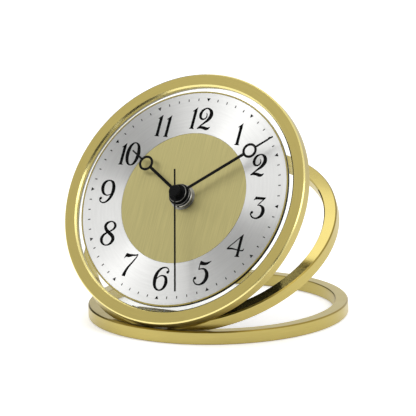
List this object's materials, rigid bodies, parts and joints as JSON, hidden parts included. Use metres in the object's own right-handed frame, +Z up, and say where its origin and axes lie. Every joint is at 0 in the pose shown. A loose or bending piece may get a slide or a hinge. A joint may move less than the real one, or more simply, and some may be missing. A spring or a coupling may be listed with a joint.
{
  "type": "table clock",
  "caption": "Folding brass table clock of hinged fanned rings, with a floating dial on clear glass, numerals, black hands and a quartz movement.",
  "frame": {"origin": "on the table under the base ring's centre, which is the middle of the part's footprint", "axes": "+X to the viewer's right along the hinge, -Y to the front where the dial faces, +Z up"},
  "size_m": [0.15, 0.1523, 0.1388],
  "materials": {
    "satin_brass": "satin brushed, polished bevels",
    "plain_brass": "turned",
    "spun_aluminium": "concentric spun brushing",
    "bright_steel": "plated",
    "clear_glass": "clear polished",
    "black_lacquer": "semi-gloss black lacquer",
    "black_plastic": "fine moulded grain",
    "pale_plastic": "smooth moulded",
    "board_green": "solder mask",
    "winding_copper": "enamelled wire",
    "cell_sleeve": "gloss sleeve",
    "black_rubber": "matt",
    "dark_felt": "felt"
  },
  "bodies": {
    "base": {"base_ring": "satin_brass", "base_felt_ring": "dark_felt", "base_hinge_bracket": "satin_brass", "base_bracket_screws": "bright_steel", "hinge_pin": "bright_steel", "hinge_pin_cap": "bright_steel", "hinge_friction_washers": "pale_plastic"},
    "middle_prop": {"middle_ring": "satin_brass", "middle_hinge_knuckle_left": "satin_brass", "middle_hinge_knuckle_right": "satin_brass", "middle_knuckle_screws": "bright_steel"},
    "clock_head": {"front_ring": "satin_brass", "glass_disc": "clear_glass", "glass_snap_ring": "bright_steel", "head_hinge_knuckle": "satin_brass", "head_knuckle_screws": "bright_steel", "dial_plate": "satin_brass", "dial_chapter_ring": "spun_aluminium", "dial_centre_disc": "satin_brass", "centre_bush": "plain_brass", "centre_nut": "bright_steel", "centre_washer": "bright_steel", "rubber_washer": "black_rubber", "movement_front_case": "black_plastic", "movement_rear_case": "black_plastic", "case_screws": "bright_steel", "plate_screws": "bright_steel", "board_screws": "bright_steel", "gear_plate": "pale_plastic", "circuit_board": "board_green", "ic_chip": "black_plastic", "quartz_crystal": "bright_steel", "stator": "bright_steel", "coil_core": "bright_steel", "coil_bobbin": "pale_plastic", "coil_winding": "winding_copper", "battery": "cell_sleeve", "battery_contact_positive": "bright_steel", "battery_contact_negative": "bright_steel"},
    "second_train": {"second_wheel": "pale_plastic", "second_hand": "black_lacquer", "second_hand_cap": "black_lacquer"},
    "minute_train": {"centre_wheel": "pale_plastic", "minute_hand": "black_lacquer"},
    "hour_train": {"hour_wheel": "pale_plastic", "hour_hand": "black_lacquer"},
    "third_train": {"third_wheel": "pale_plastic"},
    "motion_train": {"motion_wheel": "pale_plastic"},
    "intermediate_train": {"intermediate_wheel": "pale_plastic"},
    "rotor_train": {"rotor": "pale_plastic"},
    "setting_train": {"setting_knob": "black_plastic"}
  },
  "joints": [
    {"name": "prop_fold", "type": "hinge", "parent": "base", "child": "middle_prop", "pos_m": [0, -0.06595, 0.01488], "axis": [1, 0, 0], "range_deg": [-29.82, 0]},
    {"name": "head_fold", "type": "hinge", "parent": "middle_prop", "child": "clock_head", "pos_m": [0, -0.06595, 0.01488], "axis": [1, 0, 0], "range_deg": [-28.49, 0]},
    {"name": "second_spin", "type": "hinge", "parent": "clock_head", "child": "second_train", "pos_m": [0, -0.03737, 0.07474], "axis": [0, -0.8509, 0.5253], "continuous": true},
    {"name": "minute_spin", "type": "hinge", "parent": "clock_head", "child": "minute_train", "pos_m": [0, -0.03737, 0.07474], "axis": [0, -0.8509, 0.5253], "continuous": true},
    {"name": "hour_spin", "type": "hinge", "parent": "clock_head", "child": "hour_train", "pos_m": [0, -0.03737, 0.07474], "axis": [0, -0.8509, 0.5253], "continuous": true},
    {"name": "third_spin", "type": "hinge", "parent": "clock_head", "child": "third_train", "pos_m": [-0.00156, -0.03271, 0.08228], "axis": [0, -0.8509, 0.5253], "continuous": true},
    {"name": "motion_spin", "type": "hinge", "parent": "clock_head", "child": "motion_train", "pos_m": [-0.00677, -0.03866, 0.07264], "axis": [0, -0.8509, 0.5253], "continuous": true},
    {"name": "intermediate_spin", "type": "hinge", "parent": "clock_head", "child": "intermediate_train", "pos_m": [0.00886, -0.03819, 0.07341], "axis": [0, -0.8509, 0.5253], "continuous": true},
    {"name": "rotor_spin", "type": "hinge", "parent": "clock_head", "child": "rotor_train", "pos_m": [0.0151, -0.0363, 0.07647], "axis": [0, -0.8509, 0.5253], "continuous": true},
    {"name": "setting_spin", "type": "hinge", "parent": "clock_head", "child": "setting_train", "pos_m": [-0.01397, -0.03866, 0.07264], "axis": [0, -0.8509, 0.5253], "continuous": true}
  ],
  "couplings": [
    {"joint": "minute_spin", "follows": "second_spin", "ratio": 0.016667},
    {"joint": "hour_spin", "follows": "second_spin", "ratio": 0.0013889},
    {"joint": "third_spin", "follows": "second_spin", "ratio": -0.13333},
    {"joint": "motion_spin", "follows": "second_spin", "ratio": -0.0055556},
    {"joint": "intermediate_spin", "follows": "second_spin", "ratio": -6},
    {"joint": "rotor_spin", "follows": "second_spin", "ratio": 30},
    {"joint": "setting_spin", "follows": "second_spin", "ratio": 0.016667}
  ]
}
